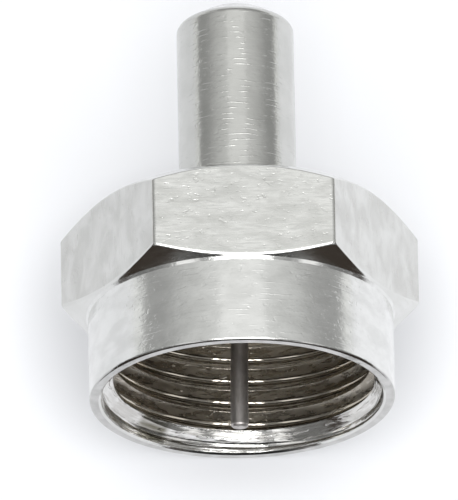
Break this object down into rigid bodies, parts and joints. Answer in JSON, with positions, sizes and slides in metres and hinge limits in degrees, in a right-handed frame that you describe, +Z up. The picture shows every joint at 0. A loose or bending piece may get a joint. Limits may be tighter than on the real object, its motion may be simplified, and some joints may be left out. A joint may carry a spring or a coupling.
{
  "type": "coaxial terminator",
  "caption": "Screw-on coaxial terminator: a hexagonal body with a threaded socket and a centre pin in front, and a slim round barrel behind that holds the load resistor.",
  "frame": {"origin": "on the axis, in the plane of the socket's mouth", "axes": "+Y along the axis from the mouth to the barrel's end, +Z up out of a hexagon flat, with the part lying on the opposite flat"},
  "size_m": [0.012, 0.0155, 0.0106],
  "materials": {
    "nickel_plated_brass": "bright nickel plate over turned brass",
    "insulator_plastic": "natural white moulded plastic",
    "tinned_wire": "tinned",
    "cap_steel": "pressed and plated",
    "rod_ceramic": "matte",
    "resistor_lacquer": "dipped lacquer",
    "solder": "reflowed solder"
  },
  "bodies": {
    "root": {"terminator_body": "nickel_plated_brass", "insulator_bush": "insulator_plastic", "centre_pin": "tinned_wire", "resistor_cap_front": "cap_steel", "resistor_rod": "rod_ceramic", "resistor_coat": "resistor_lacquer", "resistor_cap_rear": "cap_steel", "rear_lead": "tinned_wire", "solder_joint": "solder"}
  },
  "joints": []
}
